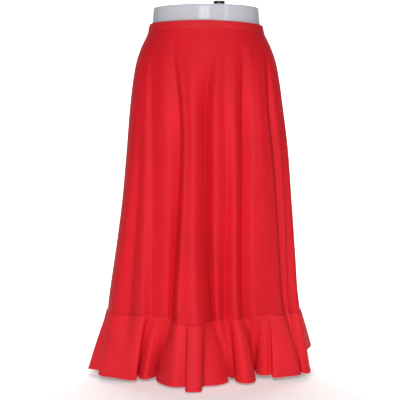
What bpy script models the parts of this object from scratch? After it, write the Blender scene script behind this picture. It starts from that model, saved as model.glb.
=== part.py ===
"""Ruffled wrap skirt on a limbless hip form. The form stands on a pole and a round base plate.

Metres, +Z up. The front faces -Y and the base plate rests on z = 0.
Angles go round the body in degrees: 0 is front centre, 90 the +X side, 180 back centre, 270 the -X side.
"""

import math

import bpy
import numpy as np

# Cloth and gaps
CLOTH_THICKNESS = 0.0015
BAND_THICKNESS = 0.0022
PIECE_GAP = 0.0003
LAYER_INSET = 0.0024
BAND_LAYER_INSET = 0.0028
BAND_PROUD = 0.0004
SIDE_GAP_DEGREES = 0.1

# Heights
BAND_TOP_Z = 0.805
BAND_BOTTOM_Z = 0.787
FOLD_START_Z = 0.755
FOLD_HIP_Z = 0.631
FOLD_MIDDLE_Z = 0.401
FOLD_SEAM_Z = 0.147

# The wrap: the under layer starts behind the over layer and comes out past the free edge.
BAND_UNDER_END_DEGREES = -22.0
BAND_OVER_END_DEGREES = 366.7
INSET_KEEPS_TO_DEGREES = 11.0
INSET_ENDS_DEGREES = 42.0

# Mesh steps
PANEL_STEPS_PER_FOLD = 4
RUFFLE_STEPS_PER_FOLD = 3
RUFFLE_ROWS = 7
BAND_COLUMNS = 84
PANEL_ROWS = [0.0, 0.03, 0.07, 0.12, 0.18, 0.26, 0.36, 0.48, 0.61, 0.74, 0.87, 1.0]
RUFFLE_FLARE_POWER = 0.84
HEM_PLACES_PER_DEGREE = 0.02
SMOOTH_UP_TO_DEGREES = 50

# Level sections of the skirt: height, half width, centre x, front depth, back depth
BODY_SECTIONS = [
    (0.147, 0.2190, -0.0060, 0.122, 0.165),
    (0.171, 0.2160, -0.0065, 0.123, 0.163),
    (0.286, 0.2045, -0.0030, 0.126, 0.158),
    (0.401, 0.1935, 0.0010, 0.127, 0.152),
    (0.516, 0.1840, 0.0020, 0.127, 0.146),
    (0.631, 0.1725, 0.0000, 0.126, 0.138),
    (0.677, 0.1670, 0.0000, 0.121, 0.131),
    (0.723, 0.1585, 0.0000, 0.112, 0.120),
    (0.757, 0.1465, 0.0000, 0.103, 0.108),
    (0.787, 0.1325, 0.0000, 0.094, 0.096),
    (0.805, 0.1285, 0.0000, 0.0905, 0.092),
]

# Folds of the body in order round it, from the hidden under edge to the free over edge.
# name, angle at band, hip, middle, ruffle seam; outward millimetres at hip, middle, seam; crease 0 soft to 1 sharp
BODY_FOLDS = [
    ("under edge", -13, -13, -13, -12, -3, -9, -8, 0.0),
    ("under fold", -6, -6, -6, -4, -4, -9, -4, 0.0),
    ("wrap crease, under", 7.2, 0.2, -0.4, 4.7, -8, -18, -11, 0.6),
    ("ridge 5", 11.5, 6.8, 5.5, 8.4, 8, 7, 3, 0.0),
    ("valley 6", 16.5, 13.6, 13.4, 12.6, 2, -6, -12, 0.5),
    ("ridge 6", 23.3, 19.6, 18.0, 18.6, 5, 7, 10, 0.0),
    ("valley 7", 33.2, 28.9, 25.1, 24.6, -8, -12, -9, 0.8),
    ("ridge 7", 41.5, 36, 31.4, 30.4, 5, 8, 11, 0.0),
    ("valley 8", 48, 41.5, 40, 40, 5, 7, 7, 0.0),
    ("ridge 8", 54, 47.5, 49, 50, 4, 6, 9, 0.0),
    ("valley 9", 60, 55.6, 57.5, 58.5, -5, -8, -4, 0.7),
    ("ridge 9", 64, 61, 62.3, 61.2, 4, 4, 3, 0.0),
    ("valley 10", 68, 66.5, 67.6, 64.4, 5, -6, -13, 0.7),
    ("ridge 10", 74, 72.5, 74, 71, 5, 6, 12, 0.0),
    ("right side", 90, 90, 90, 90, 0, 0, 0, 0.0),
    ("back ridge 1", 104, 104, 105, 103, 1, 5, 12, 0.0),
    ("back valley 1", 116, 116, 118, 115, -2, -4, -6, 0.3),
    ("back ridge 2", 129, 129, 128, 130, 2, 7, 15, 0.0),
    ("back valley 2", 141, 141, 140, 143, -2, -6, -8, 0.6),
    ("back ridge 3", 154, 154, 155, 154, 2, 8, 19, 0.0),
    ("back valley 3", 167, 167, 168, 166, -3, -5, -6, 0.3),
    ("back ridge 4", 180, 180, 179, 181, 2, 6, 14, 0.0),
    ("back valley 4", 192, 192, 193, 194, -2, -6, -7, 0.6),
    ("back ridge 5", 206, 206, 205, 207, 2, 9, 21, 0.0),
    ("back valley 5", 220, 220, 222, 220, -3, -4, -6, 0.4),
    ("back ridge 6", 233, 233, 232, 234, 1, 6, 13, 0.0),
    ("back valley 6", 246, 246, 244, 246, -1, -5, -6, 0.6),
    ("back ridge 7", 258, 258, 258, 257, 1, 4, 10, 0.0),
    ("left side", 270, 270, 270, 270, 0, 0, 0, 0.0),
    ("ridge 0", 290, 299, 300, 297, 6, 9, 9, 0.0),
    ("valley 1", 297, 304.5, 308, 310.8, 5, 3, -1, 0.3),
    ("ridge 1", 303, 309.5, 316, 323.4, 4, 8, 15, 0.0),
    ("valley 2", 308, 315, 322, 328.5, -2, 0, 0, 0.2),
    ("ridge 2", 320, 328, 334, 338.6, 3, 6, 8, 0.0),
    ("valley 3", 328.5, 338.6, 340.4, 341.6, -7, -11, -2, 0.8),
    ("front pleat, left", 335, 344, 345.6, 347, 5, 8, 36, 0.0),
    ("front pleat, right", 347, 350, 351, 356, 10, 12, 44, 0.0),
    ("wrap crease, over", 366.7, 359.9, 359.4, 365.2, -7, -16, -8, 0.7),
]

# Waves of the ruffle in the same order: name, angle at its seam; hem x, y and height in millimetres
RUFFLE_WAVES = [
    ("under edge", -12, -66, -84, 12),
    ("under wave", -4, -34, -106, 12),
    ("under hollow", 3, -2, -100, 13),
    ("under rise", 6.5, 28, -98, 12),
    ("wrap hollow", 8.8, 50, -80, 11),
    ("wave 7", 12.2, 57, -88, 8.5),
    ("hollow 7", 15, 62, -82, 8.5),
    ("wave 8 left", 16.6, 68, -114, 6.5),
    ("wave 8", 19.2, 88, -130, 5.5),
    ("wave 8 right", 24, 108, -112, 6.5),
    ("hollow 8 left", 27, 107, -44, 20),
    ("hollow 8 right", 34, 109, -38, 20),
    ("wave 9 left", 36.2, 116, -58, 11.5),
    ("wave 9", 39, 131, -70, 11.5),
    ("hollow 9", 40.9, 147, -66, 12),
    ("wave 10 left", 42.2, 150, -92, 10.5),
    ("wave 10", 48.5, 178, -84, 11.5),
    ("wave 10 right", 56.5, 214, -62, 12),
    ("hollow 10", 60.5, 212, -46, 16),
    ("wave 11 left", 63.5, 221, -56, 13.5),
    ("wave 11", 71, 237, -44, 13.5),
    ("right side", 90, 229, -2, 46),
    ("back wave 1", 101, 250, 66, 57),
    ("back wave 1 far", 108, 240, 100, 54),
    ("back hollow 1", 114, 206, 104, 34),
    ("back wave 2 left", 119, 226, 138, 24),
    ("back wave 2", 125, 212, 164, 20),
    ("back wave 2 right", 131, 188, 184, 16),
    ("back hollow 2", 135, 162, 144, 15),
    ("back wave 3 left", 140, 166, 196, 11),
    ("back wave 3", 147, 140, 214, 9),
    ("back wave 3 right", 153, 112, 214, 9),
    ("back hollow 3", 157, 98, 162, 11),
    ("back wave 4 left", 161, 84, 214, 8),
    ("back wave 4", 168, 54, 228, 6),
    ("back wave 4 right", 174, 22, 218, 7),
    ("back hollow 4", 178, 14, 170, 9),
    ("back wave 5", 182, -4, 214, 7),
    ("back wave 5 right", 187, -30, 222, 6),
    ("back hollow 5", 192, -38, 166, 9),
    ("back wave 6 left", 196, -56, 218, 7),
    ("back wave 6", 202, -86, 220, 6),
    ("back wave 6 right", 208, -116, 206, 8),
    ("back hollow 6", 213, -116, 156, 11),
    ("back wave 7 left", 217, -142, 192, 9),
    ("back wave 7", 223, -168, 184, 8),
    ("back wave 7 right", 228, -192, 164, 9),
    ("back hollow 7", 232, -176, 122, 12),
    ("back wave 8 left", 237, -214, 140, 11),
    ("back wave 8", 242, -234, 122, 10),
    ("back wave 8 right", 247, -248, 98, 11),
    ("back hollow 8", 251, -222, 74, 14),
    ("back wave 9", 259, -264, 62, 12),
    ("left side", 270, -252, 26, 13),
    ("wave 1", 279, -273, 2, 13),
    ("hollow 1", 288.5, -238, -32, 14),
    ("wave 2 left", 291, -243, -62, 11),
    ("wave 2", 304, -208, -90, 10.5),
    ("wave 2 middle", 315, -180, -102, 8.5),
    ("wave 2 right", 325.3, -157, -106, 8),
    ("hollow 2", 327.4, -156, -70, 14),
    ("wave 3 left", 328.8, -151, -80, 8.5),
    ("wave 3", 332, -137, -96, 7.5),
    ("wave 3 right", 335.5, -118, -78, 8.5),
    ("hollow 3", 339.0, -104, -60, 9),
    ("wave 4 left", 340.6, -112, -92, 7.5),
    ("wave 4", 343.2, -100, -134, 6.5),
    ("wave 4 middle", 347, -72, -166, 5.5),
    ("wave 4 right", 351, -46, -166, 5.5),
    ("wave 5 left", 352.4, -43, -206, 3.5),
    ("wave 5 right", 359.5, -14, -205, 3.5),
    ("wave 6 left", 361, -6, -152, 4.5),
    ("wave 6", 363, 14, -146, 4.5),
    ("wave 6 middle", 364.2, 34, -134, 4.5),
    ("wrap edge", 365.2, 50, -112, 6),
]

# Height of the seam between body and ruffle: angle, height
RUFFLE_SEAM = [
    (-13, 0.1430),
    (0, 0.1420),
    (8, 0.1430),
    (13, 0.1455),
    (20, 0.1460),
    (28, 0.1490),
    (36, 0.1520),
    (57, 0.1505),
    (90, 0.1500),
    (180, 0.1490),
    (270, 0.1500),
    (300, 0.1505),
    (335, 0.1510),
    (340, 0.1485),
    (345, 0.1430),
    (352, 0.1410),
    (366, 0.1420),
]

# Level sections of the hip form: height, half width, front depth, back depth
FORM_SECTIONS = [
    (0.432, 0.0600, 0.0450, 0.0500),
    (0.440, 0.0950, 0.0700, 0.0780),
    (0.460, 0.1250, 0.0900, 0.1000),
    (0.500, 0.1480, 0.1030, 0.1170),
    (0.560, 0.1580, 0.1080, 0.1250),
    (0.631, 0.1610, 0.1105, 0.1260),
    (0.677, 0.1595, 0.1095, 0.1235),
    (0.700, 0.1575, 0.1070, 0.1195),
    (0.723, 0.1550, 0.1045, 0.1165),
    (0.740, 0.1503, 0.1015, 0.1113),
    (0.757, 0.1438, 0.0980, 0.1054),
    (0.772, 0.1368, 0.0936, 0.0994),
    (0.787, 0.1302, 0.0888, 0.0936),
    (0.796, 0.1265, 0.0870, 0.0902),
    (0.805, 0.1240, 0.0853, 0.0878),
    (0.816, 0.1225, 0.0845, 0.0866),
    (0.8375, 0.1206, 0.0835, 0.0850),
    (0.8405, 0.1204, 0.0833, 0.0848),
]
FORM_TOP_Z = 0.8420

# Rings of the form's lid: share of the rim's size, share of the way up from the rim
FORM_LID = [(0.992, 0.7), (0.975, 1.0), (0.5, 1.0)]
FORM_SIDES = 44
FITTING_X = 0.030
FITTING_RADIUS = 0.0135
FITTING_TOP_Z = 0.859
FITTING_EDGE = 0.002
POLE_RADIUS = 0.012
BASE_RADIUS = 0.088
BASE_CENTRE_Y = 0.030
POLE_CENTRE_Y = 0.015
BASE_HEIGHT = 0.010
BASE_EDGE = 0.003
ROUND_SIDES = 48

# Fastening at the end of the band
SNAP_RADIUS = 0.0021
SNAP_HEIGHT = 0.0010
SNAP_DEGREES = 364.9
SNAP_Z = 0.7905
SNAP_SIDES = 16
SNAP_FACE_SHARE = 0.6

# Colours: linear red, green, blue, roughness, metallic
CLOTH_LOOK = (0.72, 0.022, 0.032, 0.75, 0.0)
BAND_LOOK = (0.68, 0.020, 0.030, 0.75, 0.0)
SNAP_LOOK = (0.12, 0.010, 0.012, 0.45, 0.0)
FORM_LOOK = (0.62, 0.60, 0.66, 0.28, 0.0)
FITTING_LOOK = (0.03, 0.03, 0.035, 0.4, 0.0)
METAL_LOOK = (0.55, 0.55, 0.57, 0.35, 0.9)


def smooth_curve(keys, values, at):
    """A curve through the table's points that runs smoothly from one to the next."""
    keys = np.asarray(keys, float)
    values = np.asarray(values, float)
    at = np.clip(np.asarray(at, float), keys[0], keys[-1])
    slopes = np.gradient(values, keys)
    index = np.clip(np.searchsorted(keys, at, side="right") - 1, 0, len(keys) - 2)
    span = keys[index + 1] - keys[index]
    part = (at - keys[index]) / span
    start, end = values[index], values[index + 1]
    rise_in, rise_out = slopes[index] * span, slopes[index + 1] * span
    return (
        start
        + rise_in * part
        + (3 * (end - start) - 2 * rise_in - rise_out) * part**2
        + (2 * (start - end) + rise_in + rise_out) * part**3
    )


def smooth_step(value, low, high):
    part = np.clip((value - low) / (high - low), 0.0, 1.0)
    return part * part * (3.0 - 2.0 * part)


def section_at(sections, z):
    heights = [row[0] for row in sections]
    return [smooth_curve(heights, [row[i] for row in sections], z) for i in range(1, len(sections[0]))]


def ring_point(angle, z, outward):
    """The point on the body's level section at this angle, moved out along the section's normal."""
    half_width, centre_x, front, back = section_at(BODY_SECTIONS, z)
    turn = np.radians(angle)
    sine, cosine = np.sin(turn), np.cos(turn)
    depth = np.where(cosine > 0, front, back)
    normal_x, normal_y = depth * sine, -half_width * cosine
    length = np.hypot(normal_x, normal_y)
    x = centre_x + half_width * sine + outward * normal_x / length
    y = -depth * cosine + outward * normal_y / length
    return np.stack([x, y, z + 0.0 * x], axis=-1)


def fold_angles(z):
    """The angle of every fold at one height."""
    heights = [FOLD_SEAM_Z, FOLD_MIDDLE_Z, FOLD_HIP_Z, BAND_BOTTOM_Z]
    return np.array([smooth_curve(heights, [row[4], row[3], row[2], row[1]], z) for row in BODY_FOLDS])


def fold_outwards(z):
    """How far every fold stands out at one height, in metres."""
    heights = [FOLD_SEAM_Z, FOLD_MIDDLE_Z, FOLD_HIP_Z, FOLD_START_Z]
    return np.array([0.001 * smooth_curve(heights, [row[7], row[6], row[5], 0.0], z) for row in BODY_FOLDS])


def outward_at(place, z):
    """How far the cloth stands out at a place in the order of folds, where 2.5 is between the third and fourth."""
    outwards = fold_outwards(z)
    sharp = np.array([row[8] for row in BODY_FOLDS])
    index = int(min(max(math.floor(place), 0), len(BODY_FOLDS) - 2))
    part = place - index
    rise = outwards[index + 1] - outwards[index]
    leave, arrive = 1.5 * sharp[index] * rise, 1.5 * sharp[index + 1] * rise
    return (
        outwards[index]
        + leave * part
        + (3 * rise - 2 * leave - arrive) * part**2
        + (leave + arrive - 2 * rise) * part**3
    )


def layer_inset(angle, full):
    """How far the under layer lies inside the over layer at this angle."""
    return full * (1.0 - smooth_step(angle, INSET_KEEPS_TO_DEGREES, INSET_ENDS_DEGREES))


def body_point(place, z, nudge=0.0):
    """A point of the body's cloth at a place in the order of folds; nudge turns it by a few degrees."""
    angle = float(np.interp(place, range(len(BODY_FOLDS)), fold_angles(z))) + nudge
    return ring_point(angle, z, outward_at(place, z) - layer_inset(angle, LAYER_INSET))


def ruffle_seam_z(angle):
    return float(smooth_curve([row[0] for row in RUFFLE_SEAM], [row[1] for row in RUFFLE_SEAM], angle))


def place_of_angle(angle, z):
    return float(np.interp(angle, fold_angles(z), range(len(BODY_FOLDS))))


def fold_index(table, name):
    return [row[0] for row in table].index(name)


def places_between(table, first, last, steps):
    start, end = fold_index(table, first), fold_index(table, last)
    return np.linspace(start, end, (end - start) * steps + 1)


def end_nudges(count, low, high):
    """Small turns for the first and last columns only, which part two pieces at a seam."""
    nudges = np.zeros(count)
    nudges[0], nudges[-1] = low, high
    return nudges


def panel_grid(first, last, low_nudge, high_nudge):
    """Rows of points from the band down to the ruffle, for the folds from first to last."""
    places = places_between(BODY_FOLDS, first, last, PANEL_STEPS_PER_FOLD)
    nudges = end_nudges(len(places), low_nudge, high_nudge)
    top_z = BAND_BOTTOM_Z - PIECE_GAP
    columns = []
    for place, nudge in zip(places, nudges):
        angle = float(np.interp(place, range(len(BODY_FOLDS)), fold_angles(FOLD_SEAM_Z)))
        drop = top_z - ruffle_seam_z(angle)
        columns.append([body_point(place, top_z - drop * row, nudge) for row in PANEL_ROWS])
    return np.array(columns).transpose(1, 0, 2)


def hem_curve():
    """The hem's plan as a smooth curve; slopes at each wave follow its neighbours by the distance between them."""
    points = np.array([row[2:5] for row in RUFFLE_WAVES]) * 0.001
    spans = np.sqrt(np.linalg.norm(np.diff(points, axis=0), axis=1))
    keys = np.concatenate([[0.0], np.cumsum(spans)])
    return keys, points


def hem_point(place, keys, points):
    at = np.interp(place, range(len(keys)), keys)
    return np.array([float(smooth_curve(keys, points[:, axis], at)) for axis in range(3)])


def ruffle_grid(first, last, low_nudge, high_nudge):
    """Rows of points from the ruffle's seam down to its hem, for the waves from first to last."""
    places = places_between(RUFFLE_WAVES, first, last, RUFFLE_STEPS_PER_FOLD)
    nudges = end_nudges(len(places), low_nudge, high_nudge)
    keys, points = hem_curve()
    seam_angles = [row[1] for row in RUFFLE_WAVES]
    columns = []
    for place, nudge in zip(places, nudges):
        angle = float(np.interp(place, range(len(seam_angles)), seam_angles))
        seam_z = ruffle_seam_z(angle) - PIECE_GAP
        top = body_point(place_of_angle(angle, seam_z), seam_z, nudge)
        hem = hem_point(place + HEM_PLACES_PER_DEGREE * nudge, keys, points)
        column = []
        for row in np.linspace(0.0, 1.0, RUFFLE_ROWS + 1):
            point = top + (hem - top) * row**RUFFLE_FLARE_POWER
            point[2] = top[2] + (hem[2] - top[2]) * row
            column.append(point)
        columns.append(column)
    return np.array(columns).transpose(1, 0, 2)


def band_grid():
    """The waistband from its hidden end, once round, to its free end on top."""
    angles = np.linspace(BAND_UNDER_END_DEGREES, BAND_OVER_END_DEGREES, BAND_COLUMNS + 1)
    rows = []
    for z in (BAND_TOP_Z, BAND_BOTTOM_Z):
        outward = BAND_PROUD - layer_inset(angles, BAND_LAYER_INSET)
        rows.append(ring_point(angles, z, outward))
    return np.array(rows)


def make_material(name, look):
    material = bpy.data.materials.new(name + "_material")
    material.use_nodes = True
    shader = material.node_tree.nodes["Principled BSDF"]
    shader.inputs["Base Color"].default_value = (look[0], look[1], look[2], 1.0)
    shader.inputs["Roughness"].default_value = look[3]
    shader.inputs["Metallic"].default_value = look[4]
    material.diffuse_color = (look[0], look[1], look[2], 1.0)
    return material


def add_object(name, points, faces, look):
    mesh = bpy.data.meshes.new(name)
    mesh.from_pydata([tuple(point) for point in points], [], faces)
    mesh.validate()
    mesh.materials.append(make_material(name, look))
    mesh.shade_smooth()
    mesh.set_sharp_from_angle(angle=math.radians(SMOOTH_UP_TO_DEGREES))
    obj = bpy.data.objects.new(name, mesh)
    bpy.context.scene.collection.objects.link(obj)
    return obj


def outward_normals(grid):
    across = np.gradient(grid, axis=1)
    down = np.gradient(grid, axis=0)
    normals = np.cross(down, across)
    normals /= np.linalg.norm(normals, axis=2, keepdims=True)
    # Top and bottom edges stay level, so that pieces sewn together there stay apart.
    normals[[0, -1], :, 2] = 0.0
    return normals / np.linalg.norm(normals, axis=2, keepdims=True)


def add_cloth(name, grid, thickness, look):
    """A closed wall: the grid is its outer face and the inner face lies one thickness inside it."""
    rows, columns = grid.shape[:2]
    inner = grid - outward_normals(grid) * thickness
    points = np.concatenate([grid.reshape(-1, 3), inner.reshape(-1, 3)])
    inside = rows * columns

    def at(row, column, side=0):
        return side * inside + row * columns + column

    faces = []
    for row in range(rows - 1):
        for column in range(columns - 1):
            a, b = (row, column), (row, column + 1)
            c, d = (row + 1, column + 1), (row + 1, column)
            faces.append((at(*a), at(*d), at(*c), at(*b)))
            faces.append((at(*a, 1), at(*b, 1), at(*c, 1), at(*d, 1)))
    last_row, last_column = rows - 1, columns - 1
    for column in range(columns - 1):
        faces.append((at(0, column), at(0, column + 1), at(0, column + 1, 1), at(0, column, 1)))
        faces.append(
            (at(last_row, column), at(last_row, column, 1), at(last_row, column + 1, 1), at(last_row, column + 1))
        )
    for row in range(rows - 1):
        faces.append((at(row, 0), at(row, 0, 1), at(row + 1, 0, 1), at(row + 1, 0)))
        faces.append(
            (at(row, last_column), at(row + 1, last_column), at(row + 1, last_column, 1), at(row, last_column, 1))
        )
    return add_object(name, points, faces, look)


def add_rings(name, rings, look):
    """A closed body through level rings from bottom to top, capped at both ends."""
    count = len(rings[0])
    points = [point for ring in rings for point in ring]
    faces = [tuple(reversed(range(count)))]
    for level in range(len(rings) - 1):
        for side in range(count):
            here, there = level * count + side, level * count + (side + 1) % count
            faces.append((here, there, there + count, here + count))
    faces.append(tuple(range((len(rings) - 1) * count, len(rings) * count)))
    return add_object(name, points, faces, look)


def ellipse_ring(half_width, front, back, z, sides, centre_x=0.0, centre_y=0.0):
    ring = []
    for side in range(sides):
        turn = 2.0 * math.pi * side / sides
        depth = front if math.sin(turn) < 0 else back
        ring.append((centre_x + half_width * math.cos(turn), centre_y + depth * math.sin(turn), z))
    return ring


def circle_ring(radius, z, sides, centre_x=0.0, centre_y=0.0):
    return ellipse_ring(radius, radius, radius, z, sides, centre_x, centre_y)


def add_hip_form():
    rings = [ellipse_ring(row[1], row[2], row[3], row[0], FORM_SIDES) for row in FORM_SECTIONS]
    rim_z, half_width, front, back = FORM_SECTIONS[-1]
    for share, rise in FORM_LID:
        z = rim_z + (FORM_TOP_Z - rim_z) * rise
        rings.append(ellipse_ring(half_width * share, front * share, back * share, z, FORM_SIDES))
    add_rings("hip_form", rings, FORM_LOOK)


def add_stand():
    fitting_low = FORM_TOP_Z + PIECE_GAP
    fitting = [
        circle_ring(FITTING_RADIUS, fitting_low, ROUND_SIDES // 2, FITTING_X),
        circle_ring(FITTING_RADIUS, FITTING_TOP_Z - FITTING_EDGE, ROUND_SIDES // 2, FITTING_X),
        circle_ring(FITTING_RADIUS - FITTING_EDGE, FITTING_TOP_Z, ROUND_SIDES // 2, FITTING_X),
    ]
    add_rings("form_fitting", fitting, FITTING_LOOK)
    pole_low, pole_high = BASE_HEIGHT + PIECE_GAP, FORM_SECTIONS[0][0] - PIECE_GAP
    pole = [circle_ring(POLE_RADIUS, z, ROUND_SIDES // 2, 0.0, POLE_CENTRE_Y) for z in (pole_low, pole_high)]
    add_rings("stand_pole", pole, METAL_LOOK)
    base = [
        circle_ring(BASE_RADIUS, 0.0, ROUND_SIDES, 0.0, BASE_CENTRE_Y),
        circle_ring(BASE_RADIUS, BASE_HEIGHT - BASE_EDGE, ROUND_SIDES, 0.0, BASE_CENTRE_Y),
        circle_ring(BASE_RADIUS - BASE_EDGE, BASE_HEIGHT, ROUND_SIDES, 0.0, BASE_CENTRE_Y),
    ]
    add_rings("stand_base", base, METAL_LOOK)


def add_snap():
    """A small round snap seated on the band's face near its free end."""
    seat = ring_point(SNAP_DEGREES, SNAP_Z, BAND_PROUD + PIECE_GAP)
    above = ring_point(SNAP_DEGREES, SNAP_Z + SNAP_RADIUS, BAND_PROUD + PIECE_GAP)
    beside = ring_point(SNAP_DEGREES + 1.0, SNAP_Z, BAND_PROUD + PIECE_GAP)
    across = (beside - seat) / np.linalg.norm(beside - seat)
    outward = np.cross(across, above - seat)
    outward /= np.linalg.norm(outward)
    up = np.cross(outward, across)
    shares = ((1.0, 0.0), (1.0, SNAP_FACE_SHARE), (SNAP_FACE_SHARE, 1.0))
    turns = [2.0 * math.pi * side / SNAP_SIDES for side in range(SNAP_SIDES)]
    rings = []
    for radius, lift in [(SNAP_RADIUS * share, SNAP_HEIGHT * rise) for share, rise in shares]:
        rings.append(
            [seat + outward * lift + radius * (across * math.cos(t) + up * math.sin(t)) for t in turns]
        )
    add_rings("band_snap", rings, SNAP_LOOK)


def build():
    for obj in list(bpy.data.objects):
        bpy.data.objects.remove(obj, do_unlink=True)
    add_cloth("waistband", band_grid(), BAND_THICKNESS, BAND_LOOK)
    add_snap()
    under = panel_grid("under edge", "right side", 0.0, -SIDE_GAP_DEGREES)
    back = panel_grid("right side", "left side", SIDE_GAP_DEGREES, -SIDE_GAP_DEGREES)
    over = panel_grid("left side", "wrap crease, over", SIDE_GAP_DEGREES, 0.0)
    add_cloth("front_under_panel", under, CLOTH_THICKNESS, CLOTH_LOOK)
    add_cloth("back_panel", back, CLOTH_THICKNESS, CLOTH_LOOK)
    add_cloth("front_over_panel", over, CLOTH_THICKNESS, CLOTH_LOOK)
    under = ruffle_grid("under edge", "right side", 0.0, -SIDE_GAP_DEGREES)
    back = ruffle_grid("right side", "left side", SIDE_GAP_DEGREES, -SIDE_GAP_DEGREES)
    over = ruffle_grid("left side", "wrap edge", SIDE_GAP_DEGREES, 0.0)
    add_cloth("under_ruffle", under, CLOTH_THICKNESS, CLOTH_LOOK)
    add_cloth("back_ruffle", back, CLOTH_THICKNESS, CLOTH_LOOK)
    add_cloth("over_ruffle", over, CLOTH_THICKNESS, CLOTH_LOOK)
    add_hip_form()
    add_stand()


build()
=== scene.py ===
"""Looks of the ruffled wrap skirt on its hip form: cloth, stitches, materials, backdrop, lights, camera."""

import math

import bpy
import numpy as np
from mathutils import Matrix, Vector


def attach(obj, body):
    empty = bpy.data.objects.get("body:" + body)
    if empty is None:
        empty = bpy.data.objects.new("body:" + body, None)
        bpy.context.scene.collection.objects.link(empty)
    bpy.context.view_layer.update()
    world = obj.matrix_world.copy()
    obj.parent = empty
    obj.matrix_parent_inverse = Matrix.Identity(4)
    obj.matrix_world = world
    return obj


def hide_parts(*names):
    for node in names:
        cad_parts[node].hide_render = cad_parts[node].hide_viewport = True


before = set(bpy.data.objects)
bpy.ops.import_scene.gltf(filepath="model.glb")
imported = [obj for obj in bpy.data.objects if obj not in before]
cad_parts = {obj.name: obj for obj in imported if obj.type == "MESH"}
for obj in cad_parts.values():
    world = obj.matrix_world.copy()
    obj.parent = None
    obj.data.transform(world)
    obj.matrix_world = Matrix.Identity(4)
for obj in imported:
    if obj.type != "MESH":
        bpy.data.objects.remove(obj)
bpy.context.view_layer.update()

MILLIMETRE = 0.001

# Cloth, in metres
CLOTH_THICKNESS = 0.0009
BAND_THICKNESS = 0.0019
SNAP_GAP = 0.0003
SEAM_GAP = 0.00012
LAYER_INSET = 0.0024
BAND_LAYER_INSET = 0.0028
BAND_PROUD = 0.0004
BAND_TOP_Z = 0.805
BAND_BOTTOM_Z = 0.787
FOLD_START_Z = 0.755
FOLD_HIP_Z = 0.631
FOLD_MIDDLE_Z = 0.401
FOLD_SEAM_Z = 0.147
BAND_UNDER_END_DEGREES = -22.0
BAND_OVER_END_DEGREES = 366.7
INSET_KEEPS_TO_DEGREES = 11.0
INSET_ENDS_DEGREES = 42.0
RUFFLE_FLARE_POWER = 0.84

# Shares of a fold and of a wave that stay free at a sewn side
PANEL_SIDE_GAP = 0.0020
RUFFLE_SIDE_GAP = 0.0025

# Mesh steps
PANEL_STEPS_PER_FOLD = 18
PANEL_ROW_COUNT = 84
RUFFLE_STEPS_PER_WAVE = 8
RUFFLE_ROW_COUNT = 44
BAND_COLUMNS = 420
FORM_SIDES = 160
FORM_ROWS = 90
POLE_SIDES = 64
BASE_SIDES = 128
FITTING_SIDES = 64
SNAP_SIDES = 32
STITCH_SIDES = 6
WALL_BEND_STEP_DEGREES = 6

# Edges that turn by more than this stay sharp
CLOTH_SHARP_DEGREES = 60
BAND_SHARP_DEGREES = 50
FORM_SHARP_DEGREES = 65
TURNED_SHARP_DEGREES = 40

# Rows of points on a ruffle, as shares of the way down it
ROWS_NEAR_SEAM = [0.0, 0.004, 0.010, 0.018, 0.028, 0.042, 0.060]
ROWS_NEAR_HEM = [0.957, 0.961, 0.965, 0.975, 0.985, 0.994, 1.0]
ROWS_BETWEEN = (0.08, 0.945)

# Hems, gathers, stitches, seams and band
HEM_DEPTH = 0.0055
HEM_RAISE = 0.00035
HEM_STEP = 0.0006
PUCKER_LENGTH = 0.030
PUCKER_START = 0.004
PUCKER_EVERY_DEGREES = 3.2
PUCKER_DEPTHS = (0.0002, 0.0009)
PUCKER_WIDTHS_DEGREES = (0.5, 1.1)
PUCKER_LENGTH_SHARES = (0.5, 1.3)
PUCKER_FREE_DEGREES = (0.5, 3.0)
OVER_RUFFLE_SEED = 3
UNDER_RUFFLE_SEED = 5
BACK_RUFFLE_SEED = 7
STITCH_LENGTH = 0.0021
STITCH_PITCH = 0.0031
STITCH_WIDTH = 0.00042
STITCH_HALF_STEP = 0.001
HEM_STITCHES_FROM_EDGE = 0.0047
SEAM_STITCHES_FROM_EDGE = 0.0018
WRAP_STITCHES_FROM_EDGE = 0.006
SEAM_GROOVE = 0.0009
SEAM_GROOVE_WIDTH = 0.0022
SEAM_PINCH = 0.0005
SEAM_PINCH_REACH = 0.0045
RUFFLE_ROLL = 0.0022
RUFFLE_ROLL_REACH = 0.016
RUFFLE_ROLL_START = 0.002
EDGE_TUCK = 0.0012
EDGE_TUCK_WIDTH = 0.0060
BAND_EDGE_RADIUS = 0.0008
BAND_CROWN = 0.00035
BAND_RIPPLE = 0.0004
BAND_RIPPLE_WAVES = (9, 17, 31, 54)
BAND_RIPPLE_STRENGTHS = (0.4, 1.0)
BAND_RIPPLE_SHIFTS = (0, 6.3)
BAND_RIPPLE_SEED = 11
BAND_TOP_EDGE_DEGREES = (30, 60, 90)
BAND_FACE_SHARES = (0.86, 0.72, 0.58, 0.42, 0.28, 0.14)
BAND_BOTTOM_EDGE_DEGREES = (90, 60, 30, 0)
BAND_INNER_EDGE_SHARE = 0.3
BAND_MAP_ROW = 4
BAND_STITCH_ROWS = (5, 9)
WAIST_DROP = 0.0035

# Form, fitting, pole, base and snap
FORM_TOP_Z = 0.8420
FITTING_X = 0.030
POLE_CENTRE_Y = 0.015
BASE_CENTRE_Y = 0.030
SNAP_DEGREES = 364.9
SNAP_Z = 0.7905
SNAP_PROBE_DEGREES = 0.5
SNAP_PROBE_RISE = 0.001

# The form's rounded rim: share of the last section's size, share of the way up
FORM_CAP = [
    (0.9985, 0.25),
    (0.996, 0.5),
    (0.991, 0.78),
    (0.984, 0.94),
    (0.975, 1.0),
    (0.5, 1.0),
]

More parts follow.
